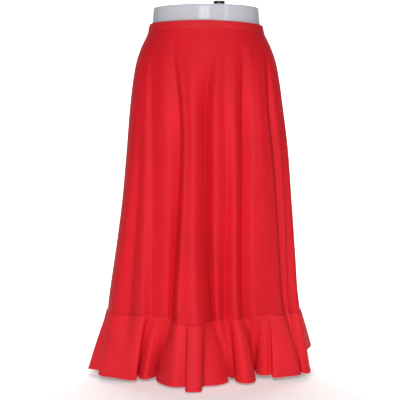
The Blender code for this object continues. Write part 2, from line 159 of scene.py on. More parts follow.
# Turned profiles in metres: radius, height along the axis
POLE_PROFILE = [
    (0, 0.0103),
    (0.0105, 0.0103),
    (0.0119, 0.0115),
    (0.0119, 0.0200),
    (0.0105, 0.0214),
    (0.0105, 0.4020),
    (0.0119, 0.4034),
    (0.0119, 0.4303),
    (0.0105, 0.4317),
    (0, 0.4317),
]
BASE_PROFILE = [
    (0, 0.0),
    (0.0865, 0.0),
    (0.0878, 0.0008),
    (0.0880, 0.0030),
    (0.0872, 0.0058),
    (0.0845, 0.0078),
    (0.0780, 0.0090),
    (0.0500, 0.0096),
    (0.0200, 0.0099),
    (0, 0.0099),
]
FITTING_PROFILE = [
    (0, 0.8423),
    (0.0128, 0.8423),
    (0.0135, 0.8430),
    (0.0135, 0.8462),
    (0.0118, 0.8474),
    (0.0118, 0.8528),
    (0.0133, 0.8540),
    (0.0135, 0.8562),
    (0.0129, 0.8582),
    (0.0110, 0.8590),
    (0, 0.8590),
]
UPRIGHT_AXES = ((1, 0, 0), (0, 1, 0), (0, 0, 1))
SNAP_PROFILE = [
    (0, 0.0),
    (0.0019, 0.0),
    (0.0021, 0.0002),
    (0.0021, 0.0005),
    (0.0018, 0.0008),
    (0.0012, 0.0008),
    (0.0009, 0.0005),
    (0, 0.0005),
]

# A stitch: share along it, share of its width, lift in metres
STITCH_SHAPE = [
    (-0.5, 0.25, -0.00012),
    (-0.32, 0.9, 0.00005),
    (0.32, 0.9, 0.00005),
    (0.5, 0.25, -0.00012),
]

# Cloth materials: linear colours, weave in metres
CLOTH_COLOUR = (0.575, 0.0086, 0.0170)
BAND_COLOUR = (0.56, 0.0128, 0.0215)
# The ruffle's colour is the body cloth's colour painted lighter: painted light for the light that falls on
# the ruffle's up-facing flare, not a different fabric
RUFFLE_COLOUR_PAINTED_LIGHTER = (0.64, 0.0145, 0.0240)
THREAD_COLOUR = (0.51, 0.0078, 0.0150)
CLOTH_ROUGHNESS = 0.60
CLOTH_SPECULAR = 0.13
WEAVE_PITCH = 0.0006
WEAVE_BUMP = 0.35
WEAVE_DEPTH = 0.0002
YARN_SCALE = 700.0
YARN_SHARE = 1.2
SHADE_SCALE = 9.0
SHADE_DARKER = 0.93
SHADE_LIGHTER = 1.06
THREAD_ROUGHNESS = 0.6
TWIST_SCALE = 900.0
TWIST_DARKER = 0.8

# Hard finishes: name, linear colour, roughness, metallic, noise scale, change of shade, specular level
FORM_SKIN = ("form_skin", (0.45, 0.435, 0.48), 0.11, 0.0, 7.0, 0.015, 0.06)
DARK_PLASTIC = ("dark_plastic", (0.022, 0.022, 0.026), 0.38, 0.0, 60.0, 0.12, 0.5)
BRUSHED_STEEL = ("brushed_steel", (0.55, 0.55, 0.57), 0.32, 0.95, 45.0, 0.05, 0.5)
DARK_RED_SNAP = ("dark_red_snap", (0.12, 0.010, 0.012), 0.40, 0.2, 400.0, 0.15, 0.5)
ROUGHNESS_SPREAD = (0.85, 1.15)

# Camera, backdrop and world
CAMERA_PLACE = (-0.0138, -2.5, 0.5024)
CAMERA_PITCH_DEGREES = 2.2551
CAMERA_LENS = 97.83
CAMERA_SENSOR_WIDTH = 36.0
WORLD_STRENGTH = 0.03
BACKDROP_GLOW = 0.28
BACKDROP_WHITE = (0.90, 0.90, 0.90)
BACKDROP_ROUGHNESS = 0.9
FLOOR_Z = -0.0002
FLOOR_FRONT_Y = -4.5
WALL_Y = 4.4
WALL_TOP_Z = 4.5
WALL_BEND_RADIUS = 1.2
BACKDROP_HALF_WIDTH = 5.0

# Area lights: name, place, aim, width, height, watts
LIGHTS = [
    ("key", (-0.15, -3.1, 1.40), (0.0, 0.0, 0.45), 0.8, 0.8, 76.0),
    ("strip_right", (1.56, -2.5, 1.58), (0.0, 0.0, 0.80), 0.14, 0.5, 7.5),
    ("floor_bounce", (-0.2, -1.2, 0.06), (0.0, -0.2, 0.12), 1.2, 0.5, 3.3),
    ("floor_wash", (0.0, 1.0, 2.6), (0.0, 2.5, 0.4), 1.6, 0.8, 70.0),
    ("wall_wash", (0.0, 2.2, 2.6), (0.0, 4.2, 0.8), 1.6, 0.8, 60.0),
]

# Level sections of the skirt: height, half width, centre x, front depth, back depth
BODY_SECTIONS = [
    (0.147, 0.2190, -0.0060, 0.122, 0.165),
    (0.171, 0.2160, -0.0065, 0.123, 0.163),
    (0.286, 0.2045, -0.0030, 0.126, 0.158),
    (0.401, 0.1935, 0.0010, 0.127, 0.152),
    (0.516, 0.1840, 0.0020, 0.127, 0.146),
    (0.631, 0.1725, 0.0000, 0.126, 0.138),
    (0.677, 0.1670, 0.0000, 0.121, 0.131),
    (0.723, 0.1585, 0.0000, 0.112, 0.120),
    (0.757, 0.1465, 0.0000, 0.103, 0.108),
    (0.787, 0.1325, 0.0000, 0.094, 0.096),
    (0.805, 0.1285, 0.0000, 0.0905, 0.092),
]

# Folds of the body in order round it, from the hidden under edge to the free over edge.
# name, angle at band, hip, middle, ruffle seam;
# outward millimetres at hip, middle, seam; crease 0 soft to 1 sharp
BODY_FOLDS = [
    ("under edge", -13, -13, -13, -12, -3, -9, -8, 0.0),
    ("under fold", -6, -6, -6, -4, -4, -9, -4, 0.0),
    ("wrap crease, under", 7.2, 0.2, -0.4, 4.7, -10.5, -18, -11, 0.6),
    ("ridge 5", 11.5, 6.8, 5.5, 8.4, 8, 7, 3, 0.0),
    ("valley 6", 16.5, 13.6, 13.4, 12.6, 2, -6, -12, 0.5),
    ("ridge 6", 23.3, 19.6, 18.0, 18.6, 5, 7, 10, 0.0),
    ("valley 7", 33.2, 28.9, 25.1, 24.6, -10, -12, -9, 0.7),
    ("ridge 7", 41.5, 37.2, 32.0, 30.4, 3.5, 6.5, 11, 0.0),
    ("valley 8", 48, 41.5, 40, 40, 5, 7, 7, 0.0),
    ("ridge 8", 54, 47.5, 49, 50, 4, 6, 9, 0.0),
    ("valley 9", 60, 55.6, 57.5, 58.5, -5, -8, -4, 0.7),
    ("ridge 9", 64, 61, 62.3, 61.2, 4, 4, 3, 0.0),
    ("valley 10", 68, 66.5, 67.6, 64.4, 5, -6, -13, 0.7),
    ("ridge 10", 74, 72.5, 74, 71, 5, 6, 12, 0.0),
    ("right side", 90, 90, 90, 90, 0, 0, 0, 0.0),
    ("back ridge 1", 104, 104, 105, 103, 1, 5, 12, 0.0),
    ("back valley 1", 116, 116, 118, 115, -2, -4, -6, 0.3),
    ("back ridge 2", 129, 129, 128, 130, 2, 7, 15, 0.0),
    ("back valley 2", 141, 141, 140, 143, -2, -6, -8, 0.6),
    ("back ridge 3", 154, 154, 155, 154, 2, 8, 19, 0.0),
    ("back valley 3", 167, 167, 168, 166, -3, -5, -6, 0.3),
    ("back ridge 4", 180, 180, 179, 181, 2, 6, 14, 0.0),
    ("back valley 4", 192, 192, 193, 194, -2, -6, -7, 0.6),
    ("back ridge 5", 206, 206, 205, 207, 2, 9, 21, 0.0),
    ("back valley 5", 220, 220, 222, 220, -3, -4, -6, 0.4),
    ("back ridge 6", 233, 233, 232, 234, 1, 6, 13, 0.0),
    ("back valley 6", 246, 246, 244, 246, -1, -5, -6, 0.6),
    ("back ridge 7", 258, 258, 258, 257, 1, 4, 10, 0.0),
    ("left side", 270, 270, 270, 270, 0, 0, 0, 0.0),
    ("ridge 0", 290, 299, 300, 297, 6, 9, 9, 0.0),
    ("valley 1", 297, 304.5, 308, 310.8, 5, 3, -1, 0.3),
    ("ridge 1", 303, 309.5, 316, 323.4, 4, 8, 15, 0.0),
    ("valley 2", 308, 315, 322, 328.5, -2, 0, 0, 0.2),
    ("ridge 2", 320, 328, 334, 338.6, 3, 6, 8, 0.0),
    ("valley 3", 328.5, 338.6, 340.4, 341.6, -7, -11, -2, 0.8),
    ("front pleat, left", 335, 344, 345.6, 347, 5, 8, 36, 0.0),
    ("front pleat, right", 347, 350, 351, 356, 10, 12, 44, 0.0),
    ("wrap crease, over", 366.7, 359.9, 359.4, 365.2, -9.5, -16, -8, 0.7),
]

# Waves of the ruffle in the same order: name, angle at its seam; hem x, y and height in millimetres
RUFFLE_WAVES = [
    ("under edge", -12, -66, -84, 12),
    ("under wave", -4, -34, -106, 12),
    ("under hollow", 3, -2, -100, 13),
    ("under rise", 6.5, 28, -98, 12),
    ("wrap hollow", 8.8, 50, -80, 11),
    ("wave 7", 12.2, 57, -88, 8.5),
    ("hollow 7", 15, 62, -82, 8.5),
    ("wave 8 left", 16.6, 68, -114, 6.5),
    ("wave 8", 19.2, 88, -130, 5.5),
    ("wave 8 right", 24, 108, -112, 6.5),
    ("hollow 8 left", 27, 107, -44, 20),
    ("hollow 8 right", 34, 109, -38, 20),
    ("wave 9 left", 36.2, 116, -58, 11.5),
    ("wave 9", 39, 131, -70, 11.5),
    ("hollow 9", 40.9, 147, -66, 12),
    ("wave 10 left", 42.2, 150, -92, 10.5),
    ("wave 10", 48.5, 178, -84, 11.5),
    ("wave 10 right", 56.5, 214, -62, 12),
    ("hollow 10", 60.5, 212, -46, 16),
    ("wave 11 left", 63.5, 221, -56, 13.5),
    ("wave 11", 71, 237, -44, 13.5),
    ("right side", 90, 229, -2, 46),
    ("back wave 1", 101, 250, 66, 57),
    ("back wave 1 far", 108, 240, 100, 54),
    ("back hollow 1", 114, 206, 104, 34),
    ("back wave 2 left", 119, 226, 138, 24),
    ("back wave 2", 125, 212, 164, 20),
    ("back wave 2 right", 131, 188, 184, 16),
    ("back hollow 2", 135, 162, 144, 15),
    ("back wave 3 left", 140, 166, 196, 11),
    ("back wave 3", 147, 140, 214, 9),
    ("back wave 3 right", 153, 112, 214, 9),
    ("back hollow 3", 157, 98, 162, 11),
    ("back wave 4 left", 161, 84, 214, 8),
    ("back wave 4", 168, 54, 228, 6),
    ("back wave 4 right", 174, 22, 218, 7),
    ("back hollow 4", 178, 14, 170, 9),
    ("back wave 5", 182, -4, 214, 7),
    ("back wave 5 right", 187, -30, 222, 6),
    ("back hollow 5", 192, -38, 166, 9),
    ("back wave 6 left", 196, -56, 218, 7),
    ("back wave 6", 202, -86, 220, 6),
    ("back wave 6 right", 208, -116, 206, 8),
    ("back hollow 6", 213, -116, 156, 11),
    ("back wave 7 left", 217, -142, 192, 9),
    ("back wave 7", 223, -168, 184, 8),
    ("back wave 7 right", 228, -192, 164, 9),
    ("back hollow 7", 232, -176, 122, 12),
    ("back wave 8 left", 237, -214, 140, 11),
    ("back wave 8", 242, -234, 122, 10),
    ("back wave 8 right", 247, -248, 98, 11),
    ("back hollow 8", 251, -222, 74, 14),
    ("back wave 9", 259, -264, 62, 12),
    ("left side", 270, -252, 26, 13),
    ("wave 1", 279, -273, 2, 13),
    ("hollow 1", 288.5, -238, -32, 14),
    ("wave 2 left", 291, -243, -62, 11),
    ("wave 2", 304, -208, -90, 10.5),
    ("wave 2 middle", 315, -180, -102, 8.5),
    ("wave 2 right", 325.3, -157, -106, 8),
    ("hollow 2", 327.4, -156, -70, 14),
    ("wave 3 left", 328.8, -151, -80, 8.5),
    ("wave 3", 332, -137, -96, 7.5),
    ("wave 3 right", 335.5, -118, -78, 8.5),
    ("hollow 3", 339.0, -104, -60, 9),
    ("wave 4 left", 340.6, -112, -92, 7.5),
    ("wave 4", 343.2, -100, -134, 6.5),
    ("wave 4 middle", 347, -72, -166, 5.5),
    ("wave 4 right", 351, -46, -166, 5.5),
    ("wave 5 left", 352.4, -43, -206, 3.5),
    ("wave 5 right", 359.5, -14, -205, 3.5),
    ("wave 6 left", 361, -6, -152, 4.5),
    ("wave 6", 363, 14, -146, 4.5),
    ("wave 6 middle", 364.2, 34, -134, 4.5),
    ("wrap edge", 365.2, 50, -112, 6),
]

# Height of the seam between body and ruffle: angle, height
RUFFLE_SEAM = [
    (-13, 0.1430),
    (0, 0.1420),
    (8, 0.1430),
    (13, 0.1455),
    (20, 0.1460),
    (28, 0.1490),
    (36, 0.1520),
    (57, 0.1505),
    (90, 0.1500),
    (180, 0.1490),
    (270, 0.1500),
    (300, 0.1505),
    (335, 0.1510),
    (340, 0.1485),
    (345, 0.1430),
    (352, 0.1410),
    (366, 0.1420),
]

# Level sections of the hip form: height, half width, front depth, back depth
FORM_SECTIONS = [
    (0.432, 0.0600, 0.0450, 0.0500),
    (0.440, 0.0950, 0.0700, 0.0780),
    (0.460, 0.1250, 0.0900, 0.1000),
    (0.500, 0.1480, 0.1030, 0.1170),
    (0.560, 0.1580, 0.1080, 0.1250),
    (0.631, 0.1610, 0.1105, 0.1260),
    (0.677, 0.1595, 0.1095, 0.1235),
    (0.700, 0.1575, 0.1070, 0.1195),
    (0.723, 0.1550, 0.1045, 0.1165),
    (0.740, 0.1503, 0.1015, 0.1113),
    (0.757, 0.1438, 0.0980, 0.1054),
    (0.772, 0.1368, 0.0936, 0.0994),
    (0.787, 0.1302, 0.0888, 0.0936),
    (0.796, 0.1265, 0.0870, 0.0902),
    (0.805, 0.1240, 0.0853, 0.0878),
    (0.816, 0.1225, 0.0845, 0.0866),
    (0.8375, 0.1206, 0.0835, 0.0850),
    (0.8405, 0.1204, 0.0833, 0.0848),
]


def smooth_curve(keys, values, at):
    """A curve through the table's points that runs smoothly from one to the next."""
    keys = np.asarray(keys, float)
    values = np.asarray(values, float)
    at = np.clip(np.asarray(at, float), keys[0], keys[-1])
    slopes = np.gradient(values, keys)
    index = np.clip(np.searchsorted(keys, at, side="right") - 1, 0, len(keys) - 2)
    span = keys[index + 1] - keys[index]
    part = (at - keys[index]) / span
    start, end = values[index], values[index + 1]
    rise_in, rise_out = slopes[index] * span, slopes[index + 1] * span
    return (
        start
        + rise_in * part
        + (3 * (end - start) - 2 * rise_in - rise_out) * part**2
        + (2 * (start - end) + rise_in + rise_out) * part**3
    )


def smooth_step(value, low, high):
    """A soft step from 0 at low to 1 at high."""
    part = np.clip((value - low) / (high - low), 0.0, 1.0)
    return part * part * (3.0 - 2.0 * part)


def ring_points(angles, z, outward):
    """Points on the body's level section at these angles, moved out along the section's normal."""
    heights = [row[0] for row in BODY_SECTIONS]
    half_width, centre_x, front, back = [
        smooth_curve(heights, [row[i] for row in BODY_SECTIONS], z) for i in range(1, 5)
    ]
    turn = np.radians(angles)
    sine, cosine = np.sin(turn), np.cos(turn)
    depth = np.where(cosine > 0, front, back)
    normal_x, normal_y = depth * sine, -half_width * cosine
    length = np.hypot(normal_x, normal_y)
    x = centre_x + half_width * sine + outward * normal_x / length
    y = -depth * cosine + outward * normal_y / length
    return np.stack([x, y, z + 0.0 * x], axis=-1)


def waist_drop(angles):
    """The band sits a little lower over the +X hip."""
    side = np.clip(np.sin(np.radians(angles)), 0.0, 1.0)
    return -WAIST_DROP * side * side * (3.0 - 2.0 * side)


def fold_tables(z):
    """Angle and outward reach of every fold at every height in z."""
    angle_heights = [FOLD_SEAM_Z, FOLD_MIDDLE_Z, FOLD_HIP_Z, BAND_BOTTOM_Z]
    out_heights = [FOLD_SEAM_Z, FOLD_MIDDLE_Z, FOLD_HIP_Z, FOLD_START_Z]
    angles = np.array([smooth_curve(angle_heights, [r[4], r[3], r[2], r[1]], z) for r in BODY_FOLDS])
    outs = np.array([smooth_curve(out_heights, [r[7], r[6], r[5], 0.0], z) for r in BODY_FOLDS])
    return angles, MILLIMETRE * outs


def body_points(places, z):
    """Points of the body's cloth at places in the order of folds, and their angles."""
    places, z = np.broadcast_arrays(np.asarray(places, float), np.asarray(z, float))
    angles, outs = fold_tables(z)
    sharp = np.array([row[8] for row in BODY_FOLDS])
    index = np.clip(np.floor(places).astype(int), 0, len(BODY_FOLDS) - 2)
    part = places - index
    pick = index[None, ...]
    angle_low = np.take_along_axis(angles, pick, 0)[0]
    angle_high = np.take_along_axis(angles, pick + 1, 0)[0]
    out_low = np.take_along_axis(outs, pick, 0)[0]
    out_high = np.take_along_axis(outs, pick + 1, 0)[0]
    rise = out_high - out_low
    leave, arrive = 1.5 * sharp[index] * rise, 1.5 * sharp[index + 1] * rise
    outward = (
        out_low
        + leave * part
        + (3 * rise - 2 * leave - arrive) * part**2
        + (leave + arrive - 2 * rise) * part**3
    )
    angle = angle_low + (angle_high - angle_low) * part
    inset = LAYER_INSET * (1.0 - smooth_step(angle, INSET_KEEPS_TO_DEGREES, INSET_ENDS_DEGREES))
    return ring_points(angle, z, outward - inset), angle


def ruffle_seam_z(angles):
    return smooth_curve([row[0] for row in RUFFLE_SEAM], [row[1] for row in RUFFLE_SEAM], angles)


def fold_index(table, name):
    return [row[0] for row in table].index(name)


def seam_places(angles):
    """Places in the order of body folds for angles at the ruffle's seam."""
    at_seam = [row[4] for row in BODY_FOLDS]
    return np.interp(angles, at_seam, range(len(BODY_FOLDS)))


def panel_grid(first, last):
    """Rows of points from the band down to the ruffle's seam."""
    start, end = fold_index(BODY_FOLDS, first), fold_index(BODY_FOLDS, last)
    places = np.linspace(start, end, (end - start) * PANEL_STEPS_PER_FOLD + 1)
    places[0] += 0.0 if start == 0 else PANEL_SIDE_GAP
    places[-1] -= 0.0 if end == len(BODY_FOLDS) - 1 else PANEL_SIDE_GAP
    seam_angles = np.interp(places, range(len(BODY_FOLDS)), [row[4] for row in BODY_FOLDS])
    band_angles = np.interp(places, range(len(BODY_FOLDS)), [row[1] for row in BODY_FOLDS])
    top_z = BAND_BOTTOM_Z - SEAM_GAP + waist_drop(band_angles)
    drop = top_z - ruffle_seam_z(seam_angles)
    rows = np.linspace(0.0, 1.0, PANEL_ROW_COUNT + 1)
    z = top_z[None, :] - drop[None, :] * rows[:, None]
    points, _ = body_points(places[None, :], z)
    return points


def hem_points(places):
    """Points of the hem at places in the order of waves."""
    points = np.array([row[2:5] for row in RUFFLE_WAVES]) * MILLIMETRE
    spans = np.sqrt(np.linalg.norm(np.diff(points, axis=0), axis=1))
    keys = np.concatenate([[0.0], np.cumsum(spans)])
    at = np.interp(places, range(len(keys)), keys)
    return np.stack([smooth_curve(keys, points[:, axis], at) for axis in range(3)], axis=-1)


def ruffle_rows():
    """Shares of the way down a ruffle: closer together at its seam and at its turned hem."""
    middle_count = RUFFLE_ROW_COUNT - len(ROWS_NEAR_SEAM) - len(ROWS_NEAR_HEM) + 1
    middle = np.linspace(*ROWS_BETWEEN, middle_count)
    return np.concatenate([ROWS_NEAR_SEAM, middle, ROWS_NEAR_HEM])


def ruffle_grid(first, last):
    """Rows of points from the ruffle's seam down to its hem."""
    start, end = fold_index(RUFFLE_WAVES, first), fold_index(RUFFLE_WAVES, last)
    places = np.linspace(start, end, (end - start) * RUFFLE_STEPS_PER_WAVE + 1)
    places[0] += 0.0 if start == 0 else RUFFLE_SIDE_GAP
    places[-1] -= 0.0 if end == len(RUFFLE_WAVES) - 1 else RUFFLE_SIDE_GAP
    angles = np.interp(places, range(len(RUFFLE_WAVES)), [row[1] for row in RUFFLE_WAVES])
    seam_z = ruffle_seam_z(angles) - SEAM_GAP
    top, _ = body_points(seam_places(angles), seam_z)
    hem = hem_points(places)
    rows = ruffle_rows()[:, None, None]
    grid = top[None] + (hem - top)[None] * rows**RUFFLE_FLARE_POWER
    grid[..., 2] = top[None, :, 2] + (hem - top)[None, :, 2] * rows[..., 0]
    return grid, angles


def normals_of(grid):
    """Unit normals of a grid of points."""
    normals = np.cross(np.gradient(grid, axis=0), np.gradient(grid, axis=1))
    return normals / np.linalg.norm(normals, axis=2, keepdims=True)


def outward_normals(grid, sewn_columns):
    """Normals of a grid, level at its sewn edges, so that the edges of neighbours stay together."""
    normals = normals_of(grid)
    for row in (0, -1):
        level = normals[row] * (1.0, 1.0, 0.0)
        normals[row] = level / np.linalg.norm(level, axis=1, keepdims=True)
    for column in sewn_columns:
        level = grid[:, column] * (1.0, 1.0, 0.0)
        normals[:, column] = level / np.linalg.norm(level, axis=1, keepdims=True)
    return normals


def pucker(grid, angles, seed, sewn_columns):
    """Small gathers that start at the ruffle's seam and fade out below it."""
    rng = np.random.default_rng(seed)
    low, high = angles.min(), angles.max()
    count = int((high - low) / PUCKER_EVERY_DEGREES)
    centres = np.sort(rng.uniform(low, high, count))
    depth = rng.uniform(*PUCKER_DEPTHS, count)
    width = rng.uniform(*PUCKER_WIDTHS_DEGREES, count)
    reach = rng.uniform(*PUCKER_LENGTH_SHARES, count) * PUCKER_LENGTH
    down = grid[:1, :, 2] - grid[..., 2]
    amount = np.zeros(down.shape)
    for centre, deep, wide, long in zip(centres, depth, width, reach):
        across = np.exp(-(((angles - centre) / wide) ** 2))
        along = smooth_step(down, 0.0, PUCKER_START) * np.exp(-down / long)
        amount -= deep * across[None, :] * along
    for column in sewn_columns:
        amount *= smooth_step(np.abs(angles - angles[column]), *PUCKER_FREE_DEGREES)
    roll = (1.0 - np.exp(-down / RUFFLE_ROLL_START)) * np.exp(-down / RUFFLE_ROLL_REACH)
    amount += RUFFLE_ROLL * roll - SEAM_PINCH * np.exp(-down / SEAM_PINCH_REACH)
    return grid + outward_normals(grid, sewn_columns) * amount[..., None]


def turned_hem(grid):
    """Raises the last few millimetres of cloth, where the hem is turned and stitched."""
    step = np.linalg.norm(np.diff(grid, axis=0), axis=2)
    below = np.concatenate([np.cumsum(step[::-1], axis=0)[::-1], np.zeros((1, grid.shape[1]))])
    raised = HEM_RAISE * (1.0 - smooth_step(below, HEM_DEPTH - HEM_STEP, HEM_DEPTH + HEM_STEP))
    return grid + normals_of(grid) * raised[..., None]


def new_mesh(name, points, faces, material):
    mesh = bpy.data.meshes.new(name)
    mesh.from_pydata([tuple(point) for point in points], [], faces)
    mesh.materials.append(material)
    mesh.shade_smooth()
    obj = bpy.data.objects.new(name, mesh)
    bpy.context.scene.collection.objects.link(obj)
    return obj


def cloth_shell(name, grid, thickness, material):
    """A thin closed shell with the grid as its outer face."""
    rows, columns = grid.shape[:2]
    inner = grid - normals_of(grid) * thickness
    points = np.concatenate([grid.reshape(-1, 3), inner.reshape(-1, 3)])
    numbers = np.arange(rows * columns).reshape(rows, columns)
    inside = numbers + rows * columns
    a, b, c, d = numbers[:-1, :-1], numbers[:-1, 1:], numbers[1:, 1:], numbers[1:, :-1]
    e, f, g, h = inside[:-1, :-1], inside[:-1, 1:], inside[1:, 1:], inside[1:, :-1]
    blocks = [np.stack([a, d, c, b], -1), np.stack([e, f, g, h], -1)]
    blocks.append(np.stack([numbers[0, :-1], numbers[0, 1:], inside[0, 1:], inside[0, :-1]], -1))
    blocks.append(np.stack([numbers[-1, :-1], inside[-1, :-1], inside[-1, 1:], numbers[-1, 1:]], -1))
    blocks.append(np.stack([numbers[:-1, 0], inside[:-1, 0], inside[1:, 0], numbers[1:, 0]], -1))
    blocks.append(np.stack([numbers[:-1, -1], numbers[1:, -1], inside[1:, -1], inside[:-1, -1]], -1))
    faces = np.concatenate([block.reshape(-1, 4) for block in blocks]).tolist()
    obj = new_mesh(name, points, faces, material)
    obj.data.set_sharp_from_angle(angle=math.radians(CLOTH_SHARP_DEGREES))
    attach(obj, "root")
    return obj


def arc_lengths(grid, axis):
    """Distance along each row or column of points from its first one."""
    step = np.linalg.norm(np.diff(grid, axis=axis), axis=2)
    zero_shape = list(step.shape)
    zero_shape[axis] = 1
    return np.concatenate([np.zeros(zero_shape), np.cumsum(step, axis=axis)], axis=axis)


def give_weave_map(obj, grid):
    """Lays a flat map in metres over both faces of a shell, so that threads follow the cloth."""
    rows, columns = grid.shape[:2]
    across = np.broadcast_to(arc_lengths(grid, 1)[rows // 2][None, :], (rows, columns))
    down = arc_lengths(grid, 0)
    one = np.stack([across, down], -1).reshape(-1, 2)
    both = np.concatenate([one, one])
    mesh = obj.data
    layer = mesh.uv_layers.new(name="weave")
    corner = np.empty(len(mesh.loops), dtype=np.int32)
    mesh.loops.foreach_get("vertex_index", corner)
    layer.data.foreach_set("uv", both[corner].astype(np.float32).ravel())


def point_below(grid, distance):
    """Points and normals at a distance above the last row."""
    length = arc_lengths(grid, 0)
    normals = normals_of(grid)
    points, outs = [], []
    for column in range(grid.shape[1]):
        at = length[-1, column] - distance
        points.append([np.interp(at, length[:, column], grid[:, column, i]) for i in range(3)])
        outs.append([np.interp(at, length[:, column], normals[:, column, i]) for i in range(3)])
    return np.array(points), np.array(outs)


def point_beside(grid, distance):
    """Points and normals at a distance inside the last column."""
    turned = np.transpose(grid, (1, 0, 2))
    points, outs = point_below(turned, distance)
    return points, -outs


def add_stitches(name, runs, material):
    """Rows of small thread stitches, each a spindle lying half in the cloth."""
    around = np.radians(np.arange(STITCH_SIDES) * 360.0 / STITCH_SIDES)
    points, faces = [], []
    for path, outs in runs:
        length = np.concatenate([[0.0], np.cumsum(np.linalg.norm(np.diff(path, axis=0), axis=1))])
        count = int(length[-1] / STITCH_PITCH)
        middle = (np.arange(count) + 0.5) * STITCH_PITCH
        ends = [
            np.stack([np.interp(middle + step, length, path[:, i]) for i in range(3)], -1)
            for step in (-STITCH_HALF_STEP, STITCH_HALF_STEP)
        ]
        centre = 0.5 * (ends[0] + ends[1])
        out = np.stack([np.interp(middle, length, outs[:, i]) for i in range(3)], -1)
        out /= np.linalg.norm(out, axis=1, keepdims=True)
        along = ends[1] - ends[0]
        along /= np.linalg.norm(along, axis=1, keepdims=True)
        side = np.cross(out, along)
        for c, o, a, s in zip(centre, out, along, side):
            base = len(points)
            for share, width, lift in STITCH_SHAPE:
                ring = c + a * share * STITCH_LENGTH + o * lift
                for t in around:
                    points.append(ring + 0.5 * STITCH_WIDTH * width * (math.cos(t) * s + math.sin(t) * o))
            last = base + (len(STITCH_SHAPE) - 1) * STITCH_SIDES
            for ring_start in range(base, last, STITCH_SIDES):
                for k in range(STITCH_SIDES):
                    here, there = ring_start + k, ring_start + (k + 1) % STITCH_SIDES
                    faces.append((here, there, there + STITCH_SIDES, here + STITCH_SIDES))
            faces.append(tuple(base + k for k in reversed(range(STITCH_SIDES))))
            faces.append(tuple(last + k for k in range(STITCH_SIDES)))
    obj = new_mesh(name, points, faces, material)
    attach(obj, "root")
    return obj


def add_lathe(name, profile, centre, frame_axes, sides, material):
    """A turned body: radius and height pairs from one pole to the other, about the frame's third axis."""
    across, along, axis = [np.array(direction, float) for direction in frame_axes]
    turns = 2.0 * np.pi * np.arange(sides) / sides
    points = [np.array(centre) + axis * profile[0][1]]
    for radius, height in profile[1:-1]:
        for t in turns:
            spoke = math.cos(t) * across + math.sin(t) * along
            points.append(np.array(centre) + axis * height + radius * spoke)
    points.append(np.array(centre) + axis * profile[-1][1])
    faces = [(0, 1 + (k + 1) % sides, 1 + k) for k in range(sides)]
    levels = len(profile) - 2
    for level in range(levels - 1):
        for k in range(sides):
            here, there = 1 + level * sides + k, 1 + level * sides + (k + 1) % sides
            faces.append((here, there, there + sides, here + sides))
    last = len(points) - 1
    top = 1 + (levels - 1) * sides
    faces += [(last, top + k, top + (k + 1) % sides) for k in range(sides)]
    obj = new_mesh(name, points, faces, material)
    obj.data.set_sharp_from_angle(angle=math.radians(TURNED_SHARP_DEGREES))
    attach(obj, "root")
    return obj


def new_material(name, colour, roughness):
    material = bpy.data.materials.new(name)
    material.use_nodes = True
    material.diffuse_color = (*colour, 1.0)
    shader = material.node_tree.nodes["Principled BSDF"]
    shader.inputs["Base Color"].default_value = (*colour, 1.0)
    shader.inputs["Roughness"].default_value = roughness
    return material, material.node_tree, shader


def math_node(tree, operation, first, second=None):
    node = tree.nodes.new("ShaderNodeMath")
    node.operation = operation
    for socket, value in zip(node.inputs, (first, second)):
        if value is None:
            continue
        if hasattr(value, "links"):
            tree.links.new(value, socket)
        else:
            socket.default_value = value
    return node.outputs[0]


def noise_node(tree, vector, scale, detail=3.0):
    node = tree.nodes.new("ShaderNodeTexNoise")
    node.inputs["Scale"].default_value = scale
    node.inputs["Detail"].default_value = detail
    tree.links.new(vector, node.inputs["Vector"])
    return node.outputs["Fac"]


def ramp_node(tree, factor, low_colour, high_colour, low=0.3, high=0.7):
    node = tree.nodes.new("ShaderNodeValToRGB")
    node.color_ramp.elements[0].position = low
    node.color_ramp.elements[1].position = high
    node.color_ramp.elements[0].color = (*low_colour, 1.0)
    node.color_ramp.elements[1].color = (*high_colour, 1.0)
    tree.links.new(factor, node.inputs["Fac"])
    return node.outputs["Color"]


def cloth_material(name, colour, pitch, bump):
    """A plain woven cloth: warp and weft from the weave map, uneven yarns, slight change of shade."""
    material, tree, shader = new_material(name, colour, CLOTH_ROUGHNESS)
    shader.inputs["Specular IOR Level"].default_value = CLOTH_SPECULAR
    uv = tree.nodes.new("ShaderNodeUVMap")
    uv.uv_map = "weave"
    split = tree.nodes.new("ShaderNodeSeparateXYZ")
    tree.links.new(uv.outputs["UV"], split.inputs[0])
    turn = math.pi / pitch
    warp = math_node(tree, "SINE", math_node(tree, "MULTIPLY", split.outputs["X"], turn))
    weft = math_node(tree, "SINE", math_node(tree, "MULTIPLY", split.outputs["Y"], turn))
    weave = math_node(tree, "MULTIPLY", warp, weft)
    coordinates = tree.nodes.new("ShaderNodeTexCoord")
    yarn = noise_node(tree, uv.outputs["UV"], YARN_SCALE, detail=2.0)
    height = math_node(tree, "ADD", weave, math_node(tree, "MULTIPLY", yarn, YARN_SHARE))
    bump_node = tree.nodes.new("ShaderNodeBump")
    bump_node.inputs["Strength"].default_value = bump
    bump_node.inputs["Distance"].default_value = WEAVE_DEPTH
    tree.links.new(height, bump_node.inputs["Height"])
    tree.links.new(bump_node.outputs["Normal"], shader.inputs["Normal"])
    shade = noise_node(tree, coordinates.outputs["Object"], SHADE_SCALE, detail=4.0)
    darker = tuple(SHADE_DARKER * c for c in colour)
    lighter = tuple(min(1.0, SHADE_LIGHTER * c) for c in colour)
    tree.links.new(ramp_node(tree, shade, darker, lighter), shader.inputs["Base Color"])
    return material


